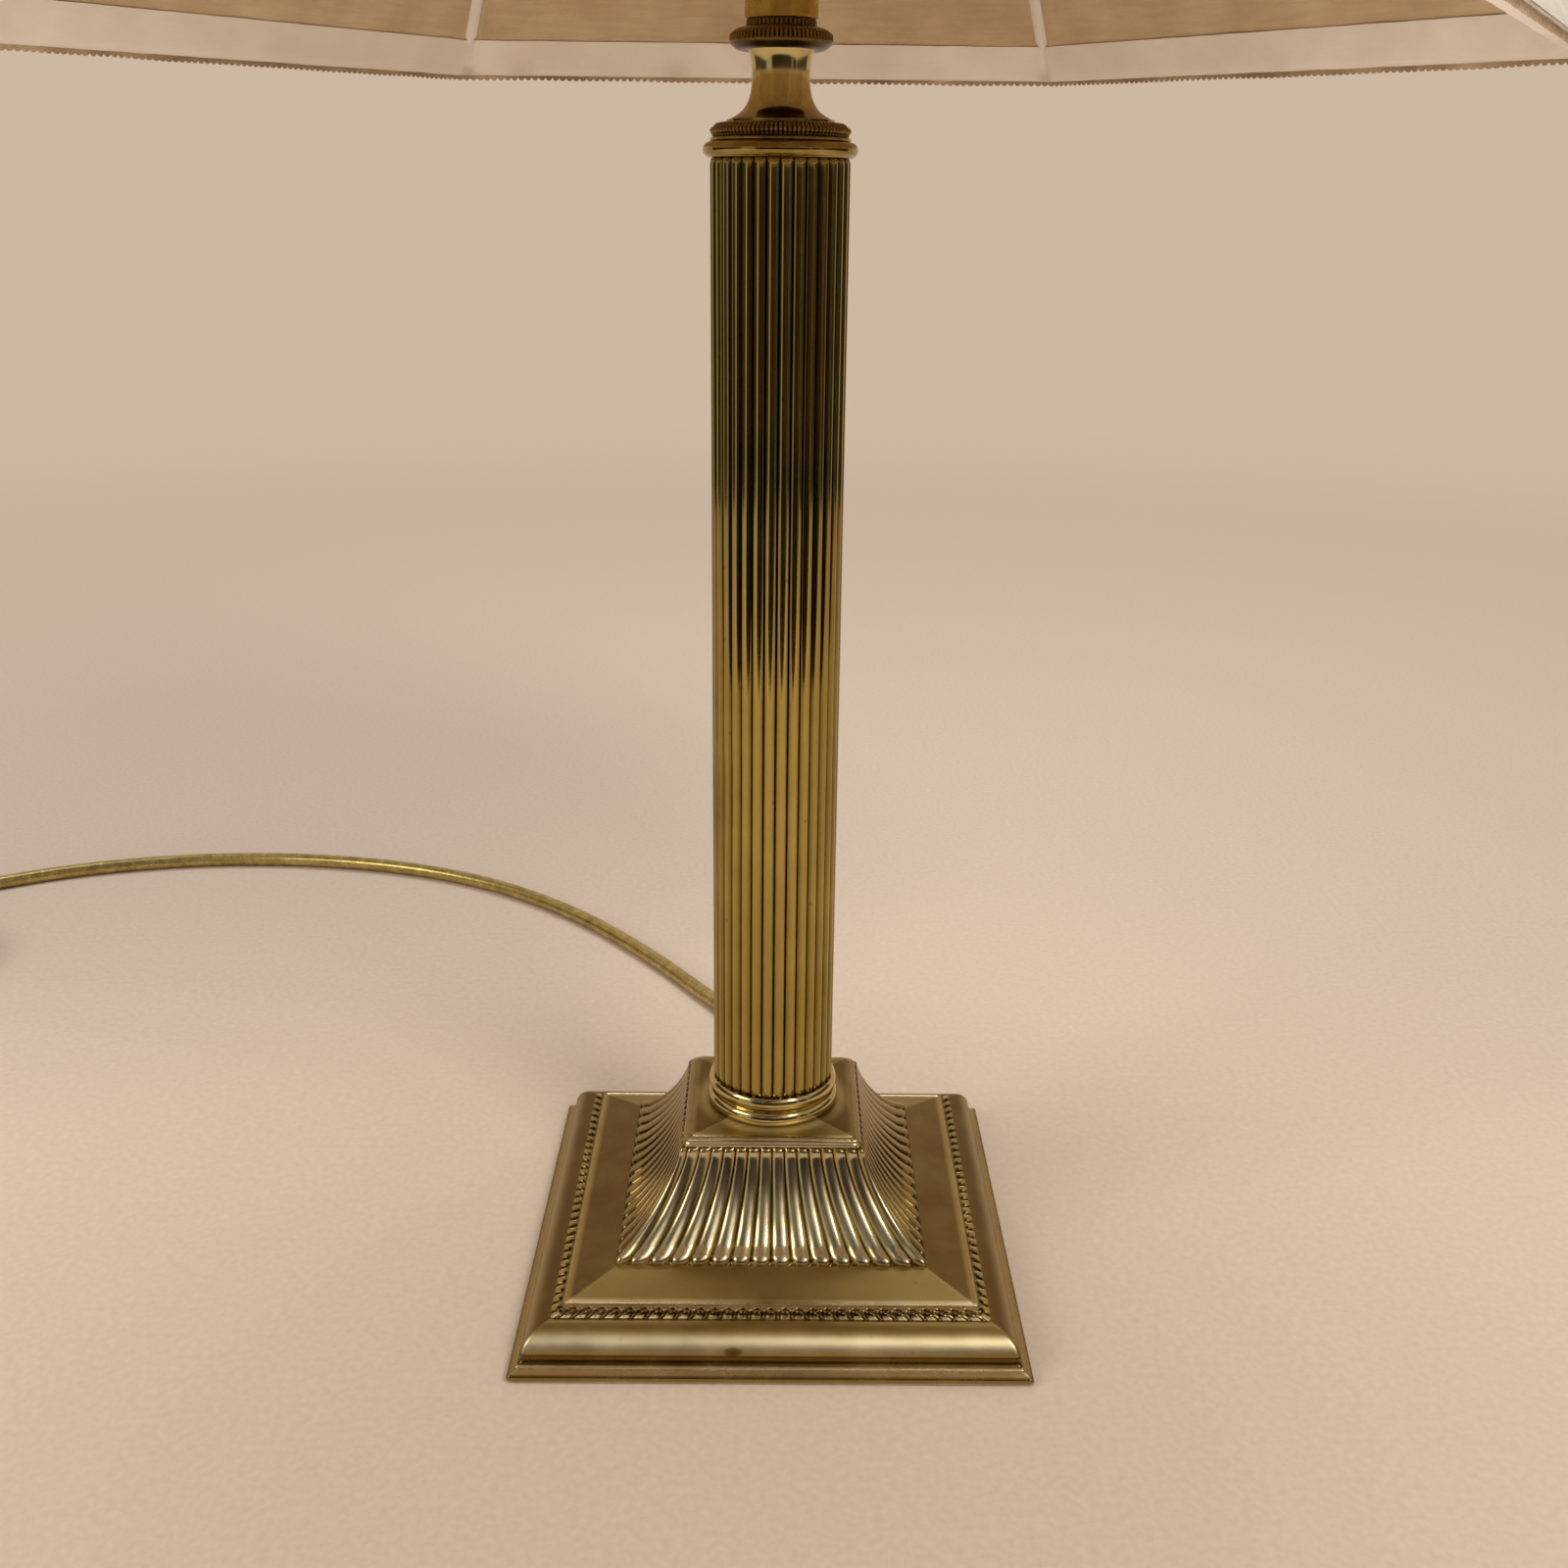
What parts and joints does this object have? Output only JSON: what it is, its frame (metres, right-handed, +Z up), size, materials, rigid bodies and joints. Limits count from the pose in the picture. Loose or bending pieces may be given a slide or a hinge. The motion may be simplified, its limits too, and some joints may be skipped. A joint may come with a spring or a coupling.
{
  "type": "table lamp",
  "caption": "Square-based column table lamp with a reeded brass column, bayonet holder on a wire carrier, six-sided silk shade and gold flex.",
  "frame": {"origin": "centre of the square base on the table", "axes": "+Z up along the column, the flex leaves the base at the back towards +Y, +X to the right seen from the front"},
  "size_m": [0.6884, 0.5201, 0.5991],
  "materials": {
    "felt": "black wool felt",
    "steel": "zinc-plated steel",
    "cast_iron": "raw grey cast iron",
    "antique_brass": "pressed brass, antiqued brown with rubbed silvery edges",
    "bright_brass": "turned and polished brass",
    "column_brass": "reeded drawn brass tube, polished and lacquered",
    "aged_brass": "knurled brass, dark in the grooves",
    "holder_brass": "spun brass, polished",
    "black_moulding": "black moulded plastic",
    "bush_plastic": "gold-brown moulded PVC",
    "gold_flex": "round PVC flex, metallic gold",
    "cores": "coloured core insulation",
    "plug_plastic": "white moulded plug",
    "pin_brass": "bare brass pins",
    "black_glass": "black glass insulator of the bulb",
    "bulb_metal": "bright aluminium cap",
    "bulb_glass": "pearl glass",
    "tungsten": "tungsten wire",
    "frame_wire": "steel wire, cream coated",
    "carrier_brass": "brass-plated steel wire",
    "cover_silk": "white slub silk",
    "lining_silk": "tan slub silk",
    "cream_tape": "cream cotton tape",
    "white_braid": "white gimp braid",
    "tan_picot": "tan picot tape"
  },
  "bodies": {
    "lamp": {"base_shell": "antique_brass", "base_felt": "felt", "base_plate": "steel", "base_screws": "steel", "base_weight": "cast_iron", "cord_bush": "bush_plastic", "tie_rod": "steel", "rod_washer": "steel", "rod_nut": "steel", "column_ring": "bright_brass", "column_tube": "column_brass", "collar": "bright_brass", "beaded_ring": "aged_brass", "neck": "bright_brass", "knurled_ring": "aged_brass", "lock_ring": "aged_brass", "holder_cap": "holder_brass", "neck_screw": "steel", "holder_insulator": "black_moulding", "plunger_spring_front": "steel", "plunger_spring_back": "steel", "holder_barrel": "holder_brass", "union_ring": "holder_brass", "shade_nut": "black_moulding", "flex_cores": "cores", "inner_flex": "gold_flex", "cord": "gold_flex", "cord_coil": "gold_flex", "plug_cover": "plug_plastic", "plug_base": "plug_plastic", "plug_pins": "pin_brass"},
    "push_bar": {"push_bar": "black_moulding"},
    "plunger_front": {"plunger_front": "pin_brass"},
    "plunger_back": {"plunger_back": "pin_brass"},
    "bulb": {"bulb_base": "black_glass", "bulb_cap": "bulb_metal", "bulb_glass": "bulb_glass", "bulb_stem": "bulb_glass", "bulb_filament": "tungsten"},
    "carrier": {"carrier_ring": "carrier_brass", "carrier_arm_left": "carrier_brass", "carrier_arm_right": "carrier_brass", "carrier_plate": "carrier_brass"},
    "shade_hub": {"shade_hub": "carrier_brass"},
    "shade": {"gimbal_ring": "frame_wire", "gimbal_arms": "frame_wire", "shade_bottom_ring": "frame_wire", "shade_top_ring": "frame_wire", "shade_struts": "frame_wire", "shade_cover": "cover_silk", "shade_lining": "lining_silk", "rim_band": "cream_tape", "top_band": "cream_tape", "strut_tapes": "cream_tape", "rim_gimp": "white_braid", "top_gimp": "white_braid", "corner_gimp": "white_braid", "rim_picot": "tan_picot"}
  },
  "joints": [
    {"name": "push_bar_slide", "type": "slide", "parent": "lamp", "child": "push_bar", "axis": [1, 0, 0], "range_m": [-0.006, 0]},
    {"name": "plunger_front_press", "type": "slide", "parent": "lamp", "child": "plunger_front", "axis": [0, 0, -1], "range_m": [0, 0.002], "stiffness_N_per_m": 800, "deforming": ["plunger_spring_front"]},
    {"name": "plunger_back_press", "type": "slide", "parent": "lamp", "child": "plunger_back", "axis": [0, 0, -1], "range_m": [0, 0.002], "stiffness_N_per_m": 800, "deforming": ["plunger_spring_back"]},
    {"name": "bulb_twist", "type": "hinge", "parent": "lamp", "child": "bulb", "pos_m": [0, 0, 0.4198], "axis": [0, 0, 1], "range_deg": [-20, 0]},
    {"name": "carrier_swivel", "type": "hinge", "parent": "lamp", "child": "carrier", "pos_m": [0, 0, 0.4099], "axis": [0, 0, 1], "continuous": true},
    {"name": "shade_lift", "type": "slide", "parent": "carrier", "child": "shade_hub", "axis": [0, 0, 1], "range_m": [0, 0.24]},
    {"name": "shade_tilt", "type": "hinge", "parent": "shade_hub", "child": "shade", "pos_m": [0, 0, 0.5647], "axis": [1, 0, 0], "range_deg": [-8, 8]}
  ]
}
